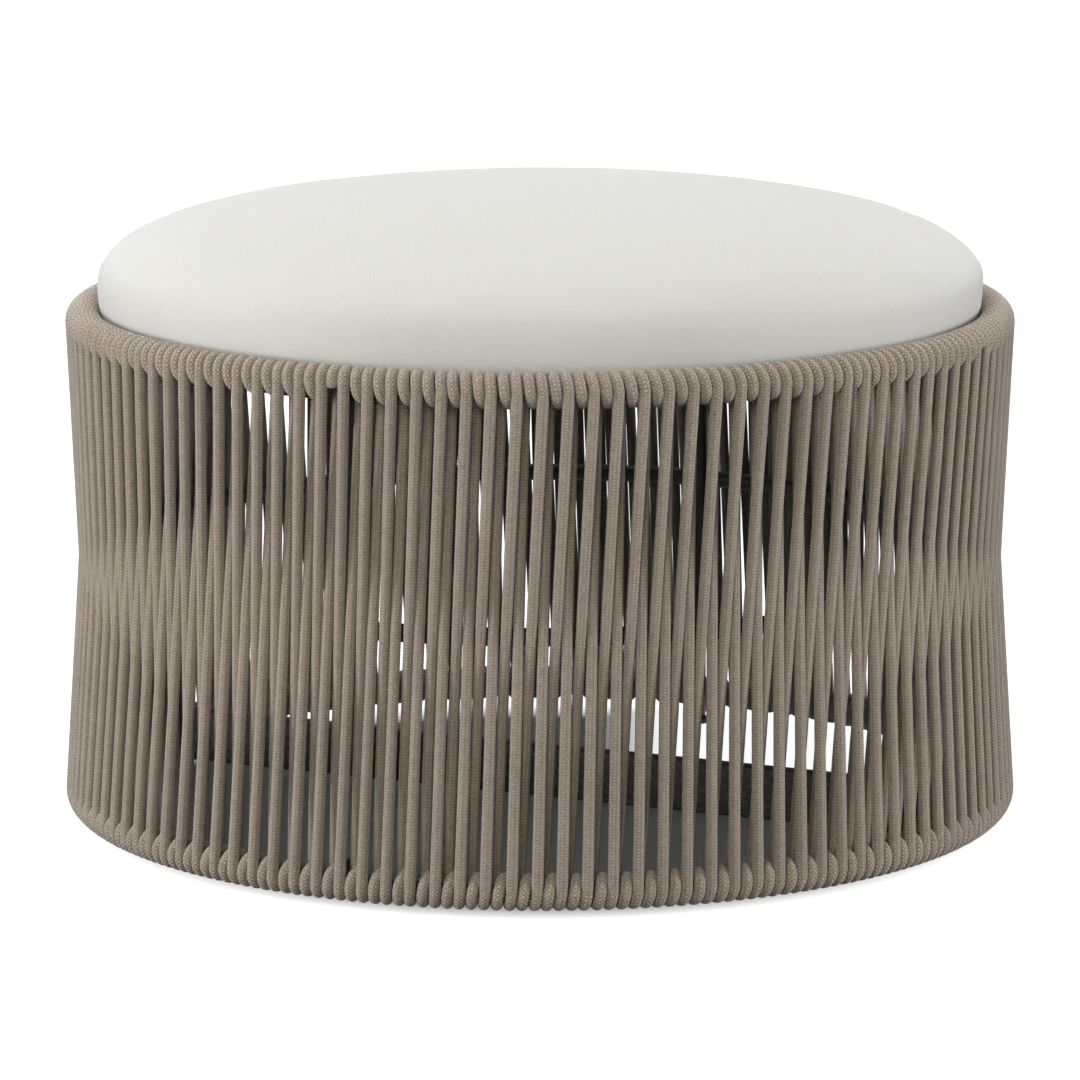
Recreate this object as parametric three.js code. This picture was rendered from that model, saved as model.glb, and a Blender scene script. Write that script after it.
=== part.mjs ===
import * as THREE from 'three';

// Outdoor footstool: rope wound over two rod rings makes an open drum, and a loose round cushion
// sits in its upper rim. Millimetres, +Z up. The origin is on the floor under the middle of the
// drum, and the front faces -Y. Angles round the drum start at the front and grow to the right.

// Rings
const topRingRadius = 307;
const ringFlare = 4; // how much wider the lower ring is, in radius
const ringSpacing = 321.3;
const ringRodDiameter = 9;

// Rope
const ropeDiameter = 7.5;
const strandWidth = 5.6; // side of the square strand that stands for the round rope between the rings
const ropePitch = 7.78; // turns of rope along the upper ring, middle to middle
const ropePhaseDegrees = 0.35; // first falling strand at the upper ring
const fallLeanShare = 1; // lean of a falling strand to the left, in periods
const riseLeanShare = 0.5; // lean of a rising strand to the right, in periods
const riseStartShare = -0.25; // where a rising strand leaves the lower ring, in periods
const ropeClearance = 0.4; // rope to a lug, and a loose rope end to the turns below it
const ringBoreClearance = 0.3; // ring rod to the rope wound round it

// Posts, lugs and hoop
const postCount = 4;
const postPeriods = -8.5; // first post, in rope periods from the first falling strand
const postInset = 27; // post circle inside the upper ring, in radius
const postDiameter = 10;
const postWall = 1.5;
const lugThickness = 3;
const lugHeight = 22;
const lugShiftShare = 0.125; // upper lugs sit this share of a period past their post, lower ones before
const hoopDiameter = 12;
const weldGap = 0.3;

// Floor and crossbar
const floorClearance = 6; // floor to the lowest rope
const glideHeadDiameter = 14;
const glideHeadHeight = 4.7;
const glideStemLength = 14;
const glideStemClearance = 0.3;
const crossbarHeight = 36;
const crossbarWidth = 12;
const crossbarWall = 1.5;
const crossbarLift = 7; // floor to its lower face

// Seat support
const seatRodDiameter = 8;
const slatCount = 7;
const slatEdgeShare = 0.78; // room past the outer slats, in slat spacings
const slatWidth = 25;
const slatThickness = 4;
const slatTopDrop = 4.3; // slat tops below the middle height of the upper ring

// Cushion
const cushionPress = 1; // how far the widest place reaches over the rim's inner edge
const cushionDrawIn = 4; // how much narrower its underside is
const cushionWidestLift = 25; // underside to the widest place
const cushionCrown = 65.5; // widest place to the middle of the top
const crownPowerShare = 1.64;
const edgePowerShare = 3.48;
const coverThickness = 2.5;
const basePanelThickness = 2;
const fabricGap = 0.3;
const zipLength = 300;
const zipWidth = 22;
const sliderLength = 14;
const sliderWidth = 9;
const sliderHeight = 3;
const sliderEndMargin = 20; // from the zip's end to the closed slider

// Facets
const drumFacets = 48;
const rodFacets = 6;
const postFacets = 12;
const foamFacets = 24;
const crownSteps = 7;
const innerCrownSteps = 5;
const gapSamples = 100;

// Places worked out from the sizes above
const bottomRingRadius = topRingRadius + ringFlare;
const postCircleRadius = topRingRadius - postInset;
const wrapRadius = ringRodDiameter / 2 + ropeDiameter;
const strandOffset = ringRodDiameter / 2 + ropeDiameter / 2;
const bottomRingHeight = floorClearance + wrapRadius;
const topRingHeight = bottomRingHeight + ringSpacing;
const wallPeriods = Math.round((Math.PI * topRingRadius) / ropePitch / postCount);
const ropePeriods = wallPeriods * postCount; // each period has one falling and one rising strand
const period = (2 * Math.PI) / ropePeriods;
const ropePhase = THREE.MathUtils.degToRad(ropePhaseDegrees);
const firstPostAngle = ropePhase + postPeriods * period;
const postStep = (2 * Math.PI) / postCount;
const facetStep = (2 * Math.PI) / drumFacets;
const postAngles = Array.from({ length: postCount }, (_, i) => firstPostAngle + i * postStep);
const slatSpacing = (2 * postCircleRadius) / (slatCount + slatEdgeShare);
const slatTop = topRingHeight - slatTopDrop;
const slatBottom = slatTop - slatThickness;
const seatRodHeight = slatBottom - weldGap - seatRodDiameter / 2;
const postTop = seatRodHeight - seatRodDiameter / 2 - weldGap;
const postBottom = glideHeadHeight + weldGap;
const cushionRadius = topRingRadius - wrapRadius + cushionPress;
const cushionBottom = slatTop + fabricGap;
const cushionWidest = cushionBottom + cushionWidestLift;
const zipOffset = slatSpacing / 2; // from the middle of the base towards the back, between two slats

const paint = (colour, roughness, metalness = 0) =>
  new THREE.MeshStandardMaterial({ color: colour, roughness, metalness });
const frameColour = 0x2b2622;
const ropeColour = 0x948877;
const coverColour = 0xdfdedb;
const foamColour = 0xe9e2c8;
const plasticColour = 0x1c1b1a;
const zipColour = 0xcfcdc8;

const framePaint = () => paint(frameColour, 0.45, 0.3);

function named(name, geometry, material) {
  const mesh = new THREE.Mesh(geometry, material);
  mesh.name = name;
  return mesh;
}

// A point of the drum at an angle from the front, a radius and a height.
function drumPoint(angle, radius, height) {
  return new THREE.Vector3(radius * Math.sin(angle), -radius * Math.cos(angle), height);
}

// Turns a piece that is built along +X so that it points outwards at an angle of the drum.
function turnOutwards(mesh, angle) {
  mesh.rotation.z = angle - Math.PI / 2;
  return mesh;
}

// Revolves an outline of radius and height points about +Z.
function revolve(points, facets) {
  const outline = points.map(([radius, height]) => new THREE.Vector2(radius, height));
  const geometry = new THREE.LatheGeometry(outline, facets, firstPostAngle);
  return geometry.rotateX(Math.PI / 2);
}

// A round ring of even thickness, with a corner of its section facing outwards.
function roundRing(radius, thickness, height) {
  const points = [];
  for (let i = 0; i <= rodFacets; i += 1) {
    const turn = (2 * Math.PI * (i % rodFacets)) / rodFacets;
    points.push([radius + (thickness / 2) * Math.cos(turn), height + (thickness / 2) * Math.sin(turn)]);
  }
  return revolve(points, drumFacets);
}

// An upright round tube, open at both ends.
function uprightTube(diameter, wall, bottom, top) {
  const outer = new THREE.Shape().absarc(0, 0, diameter / 2, 0, 2 * Math.PI);
  outer.holes.push(new THREE.Path().absarc(0, 0, diameter / 2 - wall, 0, 2 * Math.PI));
  const options = { depth: top - bottom, bevelEnabled: false, curveSegments: postFacets / 2 };
  return new THREE.ExtrudeGeometry(outer, options).translate(0, 0, bottom);
}

// Middles of the ends of one falling strand: outside the upper ring, inside the lower ring.
function fallingStrand(index) {
  const angle = ropePhase + index * period;
  return {
    top: { angle, radius: topRingRadius + strandOffset },
    bottom: { angle: angle - fallLeanShare * period, radius: bottomRingRadius - strandOffset },
  };
}

// Middles of the ends of one rising strand: outside the lower ring, inside the upper ring.
function risingStrand(index) {
  const angle = ropePhase + (index + riseStartShare) * period;
  return {
    top: { angle: angle + riseLeanShare * period, radius: topRingRadius - strandOffset },
    bottom: { angle, radius: bottomRingRadius + strandOffset },
  };
}

// A surface that is put together corner by corner.
class Skin {
  constructor() {
    this.points = [];
    this.faces = [];
  }

  corner(point) {
    this.points.push(point);
    return this.points.length - 1;
  }

  quad(a, b, c, d) {
    this.faces.push(a, b, c, a, c, d);
  }

  geometry() {
    const geometry = new THREE.BufferGeometry().setFromPoints(this.points);
    geometry.setIndex(this.faces);
    geometry.computeVertexNormals();
    return geometry;
  }
}

// Fills the band between two rows of corners that run round the drum from one angle to another.
// Where a strand leaves the band, both rows open and the band has a hole for it.
function fillBand(skin, row, mate) {
  let i = 0;
  let j = 0;
  while (i < row.length - 1 || j < mate.length - 1) {
    const next = i < row.length - 1 ? row[i + 1].angle : Infinity;
    const mateNext = j < mate.length - 1 ? mate[j + 1].angle : Infinity;
    if (row[i].opens && mate[j].opens && row[i].angle === mate[j].angle) {
      i += 1;
      j += 1;
    } else if (next <= mateNext) {
      skin.faces.push(row[i].index, row[i + 1].index, mate[j].index);
      i += 1;
    } else {
      skin.faces.push(row[i].index, mate[j + 1].index, mate[j].index);
      j += 1;
    }
  }
}

// Angles of a row that runs from one end of the turns to the other, with a facet every few degrees.
function plainStops(from, to) {
  const stops = [{ angle: from }];
  const first = Math.floor((from - firstPostAngle) / facetStep) + 1;
  for (let angle = firstPostAngle + first * facetStep; angle < to; angle += facetStep) stops.push({ angle });
  return [...stops, { angle: to }];
}

// Angles of a row that also has an opening for each strand.
function strandStops(from, to, ends) {
  const openings = ends.flatMap(({ angle, radius }) => {
    const half = strandWidth / 2 / radius;
    return [{ angle: angle - half, opens: true }, { angle: angle + half }];
  });
  return [{ angle: from }, ...openings, { angle: to }];
}

// The turns of rope round one ring between two lugs: a bent bar with a bore for the ring's rod.
// Its section is round on the far side, and the strands leave it through its two near flats. away is
// 1 where the far side is up, as on the upper ring, and -1 on the lower ring. Returns the corners
// round the mouth of each strand.
function addTurns(skin, ringRadius, ringHeight, away, from, to, outerEnds, innerEnds) {
  const slope = wrapRadius * Math.SQRT1_2;
  const foot = strandOffset - strandWidth / 2;
  const depth = Math.sqrt(wrapRadius ** 2 - foot ** 2);
  const plain = plainStops(from, to);
  const outer = strandStops(from, to, outerEnds);
  const inner = strandStops(from, to, innerEnds);
  const section = [[wrapRadius, 0, outer], [slope, slope, plain], [0, wrapRadius, plain],
    [-slope, slope, plain], [-wrapRadius, 0, inner], [-foot, -depth, inner], [foot, -depth, outer]];
  const rows = section.map(([out, up, stops]) => stops.map((stop) => {
    const point = drumPoint(stop.angle, ringRadius + out, ringHeight + away * up);
    return { ...stop, index: skin.corner(point) };
  }));
  const boreHalf = ringRodDiameter / 2 + ringBoreClearance;
  const bore = [[boreHalf, boreHalf], [-boreHalf, boreHalf], [-boreHalf, -boreHalf], [boreHalf, -boreHalf]];
  const boreRows = bore.map(([out, up]) => plain.map((stop) => {
    const point = facetPoint(stop.angle, ringRadius + out, ringHeight + away * up);
    return { ...stop, index: skin.corner(point) };
  }));
  const fill = (row, mate, outwards) => {
    const pair = (away > 0) === outwards ? [row, mate] : [mate, row];
    fillBand(skin, ...pair);
  };
  rows.forEach((row, i) => fill(row, rows[(i + 1) % rows.length], true));
  boreRows.forEach((row, i) => fill(row, boreRows[(i + 1) % boreRows.length], false));
  const outline = section.map(([out, up]) => new THREE.Vector2(out, up));
  const hole = bore.map(([out, up]) => new THREE.Vector2(out, up));
  [0, -1].forEach((end) => {
    const corners = [...rows, ...boreRows].map((row) => row.at(end).index);
    THREE.ShapeUtils.triangulateShape(outline, [hole]).forEach(([a, b, c]) => {
      const flip = (away > 0) === (end === 0);
      skin.faces.push(...(flip ? [a, b, c] : [a, c, b]).map((corner) => corners[corner]));
    });
  });
  const mouths = (far, near) => far.flatMap((stop, i) => {
    if (!stop.opens) return [];
    return [[near[i].index, far[i].index, far[i + 1].index, near[i + 1].index]];
  });
  return { outer: mouths(rows[0], rows[6]), inner: mouths(rows[5], rows[4]) };
}

// A point at a radius of the round drum, moved in to the flats that the ring rods are made of.
function facetPoint(angle, radius, height) {
  const half = facetStep / 2;
  const past = THREE.MathUtils.euclideanModulo(angle - firstPostAngle, facetStep);
  return drumPoint(angle, (radius * Math.cos(half)) / Math.cos(past - half), height);
}

// Joins the mouth of a strand at the upper ring to its mouth at the lower ring.
function addStrand(skin, top, bottom) {
  top.forEach((corner, i) => {
    const j = (i + 1) % top.length;
    skin.quad(corner, bottom[i], bottom[j], top[j]);
  });
}

// The foot of a strand that ends above the turns of the neighbouring wall.
function addLooseFoot(skin, top, foot) {
  const height = bottomRingHeight + wrapRadius + ropeClearance;
  const half = strandWidth / 2;
  const turn = half / foot.radius;
  const share = (height - bottomRingHeight) / ringSpacing;
  const angle = foot.angle + share * fallLeanShare * period;
  const radius = foot.radius + share * (topRingRadius - bottomRingRadius + 2 * strandOffset);
  const corners = [[-turn, -half], [-turn, half], [turn, half], [turn, -half]].map(([shift, out]) =>
    skin.corner(drumPoint(angle + shift, radius + out, height)));
  addStrand(skin, top, corners);
  skin.quad(...corners.reverse());
}

// One length of rope: its turns round both rings between two posts, and its strands.
function ropeWall(wall) {
  const skin = new Skin();
  const firstIndex = Math.ceil(postPeriods + wall * wallPeriods + lugShiftShare);
  const indices = Array.from({ length: wallPeriods }, (_, i) => firstIndex + i);
  const falling = indices.map(fallingStrand);
  const rising = indices.map(risingStrand);
  const [loose, ...held] = falling;
  const ends = (ringRadius, shiftShare) => {
    const inset = (lugThickness / 2 + ropeClearance) / (ringRadius - wrapRadius);
    const from = postAngles[wall] + shiftShare * period;
    return [from + inset, from + postStep - inset];
  };
  const topEnds = ends(topRingRadius, lugShiftShare);
  const bottomEnds = ends(bottomRingRadius, -lugShiftShare);
  const top = addTurns(skin, topRingRadius, topRingHeight, 1, ...topEnds,
    falling.map((strand) => strand.top), rising.map((strand) => strand.top));
  const bottom = addTurns(skin, bottomRingRadius, bottomRingHeight, -1, ...bottomEnds,
    rising.map((strand) => strand.bottom), held.map((strand) => strand.bottom));
  addLooseFoot(skin, top.outer[0], loose.bottom);
  held.forEach((_, i) => addStrand(skin, top.outer[i + 1], bottom.inner[i]));
  rising.forEach((_, i) => addStrand(skin, top.inner[i], bottom.outer[i]));
  return named(`rope_wall_${wall + 1}`, skin.geometry(), paint(ropeColour, 0.95));
}

// The least distance between the faces of neighbouring strands, measured on points at equal heights.
function leastRopeGap() {
  const strands = [fallingStrand(0), risingStrand(0), fallingStrand(1), risingStrand(1)];
  const rows = strands.map(({ top, bottom }) => Array.from({ length: gapSamples }, (_, i) => ({
    angle: THREE.MathUtils.lerp(bottom.angle, top.angle, i / gapSamples),
    radius: THREE.MathUtils.lerp(bottom.radius, top.radius, i / gapSamples),
  })));
  const depth = wrapRadius - (strandOffset - strandWidth / 2);
  let least = Infinity;
  rows.forEach((row, k) => rows.slice(k + 1).forEach((other) => row.forEach(({ angle, radius }, i) => {
    const mate = other[i];
    const sideways = Math.abs(angle - mate.angle) * Math.min(radius, mate.radius) - strandWidth;
    const inwards = Math.abs(radius - mate.radius) - depth;
    least = Math.min(least, Math.hypot(Math.max(0, sideways), Math.max(0, inwards)));
  })));
  return least;
}

function frameRings() {
  const material = framePaint();
  const hoopRadius = postCircleRadius + postDiameter / 2 + weldGap + hoopDiameter / 2;
  const hoopHeight = bottomRingHeight + ringSpacing / 2;
  return [
    ['top_ring', topRingRadius, ringRodDiameter, topRingHeight],
    ['bottom_ring', bottomRingRadius, ringRodDiameter, bottomRingHeight],
    ['waist_hoop', hoopRadius, hoopDiameter, hoopHeight],
    ['seat_ring', postCircleRadius, seatRodDiameter, seatRodHeight],
  ].map(([name, ...sizes]) => named(name, roundRing(...sizes), material));
}

function post(index) {
  const mesh = named(`post_${index + 1}`, uprightTube(postDiameter, postWall, postBottom, postTop),
    framePaint());
  mesh.position.copy(drumPoint(postAngles[index], postCircleRadius, 0));
  return mesh;
}

// A flat lug from a post out to a ring rod, between two lengths of rope.
function lug(name, index, reach, middleHeight, shiftShare) {
  const from = postCircleRadius + postDiameter / 2 + weldGap;
  const geometry = new THREE.BoxGeometry(reach - from, lugThickness, lugHeight);
  geometry.translate((from + reach) / 2, 0, middleHeight);
  return turnOutwards(named(`${name}_${index + 1}`, geometry, framePaint()),
    postAngles[index] + shiftShare * period);
}

// An upper lug runs under the ring rod, clear of the cushion. A lower one ends against the rod.
function topLug(index) {
  const middle = topRingHeight - ringRodDiameter / 2 - weldGap - lugHeight / 2;
  return lug('top_lug', index, topRingRadius + ringRodDiameter / 2, middle, lugShiftShare);
}

function bottomLug(index) {
  const reach = bottomRingRadius - ringRodDiameter / 2 - weldGap;
  return lug('bottom_lug', index, reach, bottomRingHeight, -lugShiftShare);
}

// A glide with a flat round head under the post and a stem up its bore.
function glide(index) {
  const stemRadius = postDiameter / 2 - postWall - glideStemClearance;
  const headRadius = glideHeadDiameter / 2;
  const top = glideHeadHeight + glideStemLength;
  const outline = [[0, 0], [headRadius, 0], [headRadius, glideHeadHeight], [stemRadius, glideHeadHeight],
    [stemRadius, top], [0, top]];
  const mesh = named(`glide_${index + 1}`, revolve(outline, postFacets), paint(plasticColour, 0.6));
  mesh.position.copy(drumPoint(postAngles[index], postCircleRadius, 0));
  return mesh;
}

function rectangle(width, height, holeWidth, holeHeight) {
  const corners = (w, h) => [[-w / 2, -h / 2], [w / 2, -h / 2], [w / 2, h / 2], [-w / 2, h / 2]]
    .map(([x, y]) => new THREE.Vector2(x, y));
  const shape = new THREE.Shape(corners(width, height));
  shape.holes.push(new THREE.Path(corners(holeWidth, holeHeight)));
  return shape;
}

// The rectangular tube across the bottom, from the second post to the fourth.
function crossbar() {
  const length = 2 * (postCircleRadius - postDiameter / 2 - weldGap);
  const section = rectangle(crossbarHeight, crossbarWidth, crossbarHeight - 2 * crossbarWall,
    crossbarWidth - 2 * crossbarWall);
  const geometry = new THREE.ExtrudeGeometry(section, { depth: length, bevelEnabled: false });
  geometry.translate(0, 0, -length / 2);
  geometry.rotateY(Math.PI / 2);
  geometry.translate(0, 0, crossbarLift + crossbarHeight / 2);
  return turnOutwards(named('crossbar', geometry, framePaint()), postAngles[1]);
}

function slat(index) {
  const offset = (index - (slatCount - 1) / 2) * slatSpacing;
  const edge = Math.abs(offset) + slatWidth / 2;
  const length = 2 * Math.sqrt(postCircleRadius ** 2 - edge ** 2);
  const geometry = new THREE.BoxGeometry(length, slatWidth, slatThickness);
  geometry.translate(0, offset, slatBottom + slatThickness / 2);
  return named(`seat_slat_${index + 1}`, geometry, framePaint());
}

// Outline of the cushion from the middle of the top to the underside, shrunk by an inset.
function cushionOutline(inset, bottom, steps) {
  const points = [];
  for (let i = 0; i <= steps; i += 1) {
    const turn = (Math.PI / 2) * (1 - i / steps);
    const radius = (cushionRadius - inset) * Math.max(0, Math.cos(turn)) ** (2 / crownPowerShare);
    const height = cushionWidest + (cushionCrown - inset) * Math.sin(turn) ** (2 / edgePowerShare);
    points.push([i === 0 ? 0 : radius, height]);
  }
  const drop = cushionWidest - bottom;
  const drawIn = cushionDrawIn * (drop / cushionWidestLift) ** 2;
  points.push([cushionRadius - inset - drawIn / 4, cushionWidest - drop / 2]);
  points.push([cushionRadius - inset - drawIn, bottom]);
  return points;
}

function cushionCover() {
  const outside = cushionOutline(0, cushionBottom, crownSteps);
  const inside = cushionOutline(coverThickness, cushionBottom, innerCrownSteps);
  const outline = [...outside, ...inside.reverse()].reverse();
  return named('cushion_cover', revolve(outline, drumFacets), paint(coverColour, 0.95));
}

function cushionFoam() {
  const bottom = cushionBottom + basePanelThickness + fabricGap;
  const crown = cushionOutline(coverThickness + 2 * fabricGap, bottom, innerCrownSteps);
  const outline = [...crown, [0, bottom]].reverse();
  return named('cushion_foam', revolve(outline, foamFacets), paint(foamColour, 1));
}

// The round fabric panel that closes the cover from below, with a slit for the zip.
function cushionBase() {
  const shape = new THREE.Shape();
  const radius = cushionRadius - cushionDrawIn - coverThickness - 2 * fabricGap;
  for (let i = 0; i < drumFacets; i += 1) {
    const point = drumPoint(firstPostAngle + i * facetStep, radius, 0);
    if (i === 0) shape.moveTo(point.x, point.y);
    else shape.lineTo(point.x, point.y);
  }
  const halfLength = zipLength / 2 + fabricGap;
  const halfWidth = zipWidth / 2 + fabricGap;
  const slit = new THREE.Path();
  slit.moveTo(-halfLength, zipOffset - halfWidth);
  slit.lineTo(-halfLength, zipOffset + halfWidth);
  slit.lineTo(halfLength, zipOffset + halfWidth);
  slit.lineTo(halfLength, zipOffset - halfWidth);
  shape.holes.push(slit);
  const geometry = new THREE.ExtrudeGeometry(shape, { depth: basePanelThickness, bevelEnabled: false });
  return named('cushion_base', geometry.translate(0, 0, cushionBottom), paint(coverColour, 0.95));
}

function zip() {
  const geometry = new THREE.BoxGeometry(zipLength, zipWidth, basePanelThickness);
  geometry.translate(0, zipOffset, cushionBottom + basePanelThickness / 2);
  return named('cushion_zip', geometry, paint(zipColour, 0.7));
}

function zipSlider() {
  const geometry = new THREE.BoxGeometry(sliderLength, sliderWidth, sliderHeight);
  const x = -zipLength / 2 + sliderEndMargin;
  geometry.translate(x, zipOffset, cushionBottom - fabricGap - sliderHeight / 2);
  return named('zip_slider', geometry, paint(zipColour, 0.4, 0.2));
}

const group = new THREE.Group();
group.add(...frameRings());
for (let i = 0; i < postCount; i += 1) {
  group.add(post(i));
  group.add(topLug(i), bottomLug(i), glide(i));
}
group.add(crossbar());
for (let i = 0; i < slatCount; i += 1) group.add(slat(i));
for (let i = 0; i < postCount; i += 1) group.add(ropeWall(i));
group.add(cushionCover(), cushionBase(), cushionFoam(), zip(), zipSlider());

console.log(`least gap between rope strands ${leastRopeGap().toFixed(2)} mm`);

export default group;
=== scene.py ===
"""A round outdoor footstool: rope wound over a steel frame, with a loose cushion in its rim.

Everything is in metres, in the frame of the packed model: +Z is up, the front faces -Y, and angles
round the drum start at the front and grow to the right.
"""

import math

import bmesh
import bpy
import numpy as np
from bpy.props import FloatProperty, FloatVectorProperty, IntProperty, PointerProperty
from mathutils import Matrix, Vector, noise


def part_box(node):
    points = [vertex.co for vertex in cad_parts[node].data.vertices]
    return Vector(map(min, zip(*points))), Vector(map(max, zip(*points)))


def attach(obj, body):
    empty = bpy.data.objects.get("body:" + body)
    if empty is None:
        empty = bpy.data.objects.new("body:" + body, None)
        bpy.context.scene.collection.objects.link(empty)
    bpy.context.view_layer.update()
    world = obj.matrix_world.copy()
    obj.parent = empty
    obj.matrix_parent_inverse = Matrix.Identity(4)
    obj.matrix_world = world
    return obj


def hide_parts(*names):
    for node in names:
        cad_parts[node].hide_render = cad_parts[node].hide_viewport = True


bl_info = {
    "name": "Rope Footstool",
    "version": (1, 0, 0),
    "blender": (4, 5, 0),
    "location": "View3D > Sidebar > Footstool",
    "description": "Dresses the frame of a round rope footstool with rope, cushion and finishes",
    "category": "Object",
}

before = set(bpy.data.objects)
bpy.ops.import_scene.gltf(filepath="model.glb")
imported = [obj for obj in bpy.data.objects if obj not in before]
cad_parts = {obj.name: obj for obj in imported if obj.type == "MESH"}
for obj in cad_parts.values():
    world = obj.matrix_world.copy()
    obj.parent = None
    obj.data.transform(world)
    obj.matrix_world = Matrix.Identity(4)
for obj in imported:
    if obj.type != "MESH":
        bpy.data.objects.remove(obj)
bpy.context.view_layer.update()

MM = 0.001
POSTS = 4
PERIODS = 124  # falling and rising strands round the drum, as many as the CAD rope has
SMALL_BEAD = 0.8  # share of a full weld bead, where there is little room
SHARP_METAL = math.radians(40)
SHARP_TURNED = math.radians(50)
STEEL = "Powder Coated Steel"
MOULDING = "Zip Moulding"
SEWING = "Sewing Thread"
ROPE_UVS = "Rope"
CLOTH_UVS = "Cloth"
NOISE_SPAN = (0.3, 0.7)  # most of the values of a noise
WHOLE = (0, 1)


# Sizes read from the packed frame


def mesh_points(mesh):
    """Corners of a mesh as rows of x, y and z."""
    points = np.empty(len(mesh.vertices) * 3)
    mesh.vertices.foreach_get("co", points)
    return points.reshape(-1, 3)


def node_points(name):
    """Corners of a CAD node as rows of x, y and z."""
    return mesh_points(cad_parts[name].data)


def reaches(points):
    """Distance of each point from the drum's axis."""
    return np.hypot(points[:, 0], points[:, 1])


def ring_sizes(name):
    """Radius, height and rod radius of a ring."""
    points = node_points(name)
    reach = reaches(points)
    radius = (reach.max() + reach.min()) / 2
    height = (points[:, 2].max() + points[:, 2].min()) / 2
    return radius, height, (reach.max() - reach.min()) / 2


def upright_sizes(name):
    """Place in plan, lowest and highest height, and radius of an upright round piece."""
    points = node_points(name)
    low, high = points.min(0), points.max(0)
    middle = (low + high) / 2
    radius = np.hypot(*(points[:, :2] - middle[:2]).T).max()
    return middle[:2], low[2], high[2], radius


def drum_point(angle, radius, height):
    return np.array((radius * math.sin(angle), -radius * math.cos(angle), height))


def drum_angle(point):
    return math.atan2(point[0], -point[1])


# Settings


class FootstoolRope(bpy.types.PropertyGroup):
    """Sizes and colours of the rope."""

    diameter: FloatProperty(
        name="Diameter", description="Rope diameter", default=7.7 * MM, unit="LENGTH"
    )
    phase: FloatProperty(
        name="Phase",
        description="Angle of the first falling strand from the front",
        default=math.radians(0.35),
        subtype="ANGLE",
    )
    play: FloatProperty(
        name="Play",
        description="How far a strand may sit from its even place",
        default=0.45 * MM,
        unit="LENGTH",
    )
    pinch: FloatProperty(
        name="Pinch", description="Share of its thickness that a taut strand loses", default=0.08
    )
    lay: FloatProperty(
        name="Braid Lay", description="Length of one braid diamond", default=2.0 * MM, unit="LENGTH"
    )
    yarns: IntProperty(
        name="Yarns", description="Yarns that run each way round the rope", default=8, min=3
    )
    colour: FloatVectorProperty(
        name="Colour",
        description="Colour of the yarn",
        default=(0.398, 0.328, 0.266),
        subtype="COLOR",
    )


class FootstoolFrame(bpy.types.PropertyGroup):
    """Sizes and colours of the coated steel and its glides."""

    edge: FloatProperty(
        name="Edge", description="Rounding of cut steel edges", default=0.6 * MM, unit="LENGTH"
    )
    bead: FloatProperty(
        name="Weld Bead", description="Radius of the weld beads", default=1.3 * MM, unit="LENGTH"
    )
    colour: FloatVectorProperty(
        name="Coating",
        description="Colour of the powder coating",
        default=(0.036, 0.029, 0.023),
        subtype="COLOR",
    )
    glide_colour: FloatVectorProperty(
        name="Glides",
        description="Colour of the plastic glides",
        default=(0.012, 0.012, 0.012),
        subtype="COLOR",
    )


class FootstoolCushion(bpy.types.PropertyGroup):
    """Sizes and colours of the cushion."""

    voxel: FloatProperty(
        name="Voxel", description="Mesh size of the cloth", default=5.5 * MM, unit="LENGTH"
    )
    pressure: FloatProperty(name="Pressure", description="Filling pressure", default=4.0)
    puff: FloatProperty(
        name="Puff", description="Most that the cloth may move", default=1.6 * MM, unit="LENGTH"
    )
    bulge: FloatProperty(
        name="Bulge", description="How far the side bulges over the rim", default=3 * MM, unit="LENGTH"
    )
    slump: FloatProperty(
        name="Slump", description="How far the shoulder sinks in", default=1.8 * MM, unit="LENGTH"
    )
    thread: FloatProperty(
        name="Thread", description="Spacing of the woven threads", default=0.9 * MM, unit="LENGTH"
    )
    colour: FloatVectorProperty(
        name="Cover",
        description="Colour of the cover",
        default=(0.686, 0.677, 0.660),
        subtype="COLOR",
    )
    zip_colour: FloatVectorProperty(
        name="Zip",
        description="Colour of the zip",
        default=(0.62, 0.61, 0.57),
        subtype="COLOR",
    )


class FootstoolStage(bpy.types.PropertyGroup):
    """Camera, lamps and floor."""

    lens: FloatProperty(name="Lens", description="Focal length in millimetres", default=197.3)
    camera: FloatVectorProperty(
        name="Camera",
        description="Place of the camera",
        default=(0, -3.9463, 0.951),
        subtype="TRANSLATION",
    )
    pitch: FloatProperty(
        name="Pitch",
        description="How far the camera looks down",
        default=math.radians(10.99),
        subtype="ANGLE",
    )
    overhead: FloatProperty(name="Overhead", description="Power of the overhead lamp", default=61)
    front: FloatProperty(name="Front", description="Power of the front lamp", default=32)
    sides: FloatProperty(name="Sides", description="Power of each side lamp", default=39.5)
    warm: FloatVectorProperty(
        name="Warm",
        description="Colour of the front lamp",
        default=(1, 0.982, 0.84),
        subtype="COLOR",
    )
    cool: FloatVectorProperty(
        name="Cool",
        description="Colour of the other lamps",
        default=(0.955, 0.967, 0.985),
        subtype="COLOR",
    )
    ambient: FloatProperty(name="Ambient", description="Strength of the light all round", default=0.06)


# Meshes


def new_mesh(name, corners, faces, smooth_angle=None):
    """A mesh whose faces are smooth, apart from edges sharper than an angle."""
    mesh = bpy.data.meshes.new(name)
    mesh.from_pydata([tuple(c) for c in corners], [], [tuple(f) for f in faces])
    mesh.polygons.foreach_set("use_smooth", [True] * len(mesh.polygons))
    if smooth_angle is not None:
        mesh.set_sharp_from_angle(angle=smooth_angle)
    mesh.update()
    return mesh


def link_object(name, data):
    """An object with its data, in the scene."""
    made = bpy.data.objects.new(name, data)
    bpy.context.scene.collection.objects.link(made)
    return made


def add_piece(name, mesh, material, body, replaces=()):
    """Puts a piece in the scene, on its body."""
    piece = link_object(name, mesh)
    mesh.materials.clear()
    mesh.materials.append(material)
    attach(piece, body)
    if replaces:
        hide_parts(*replaces)
    return piece


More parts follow.
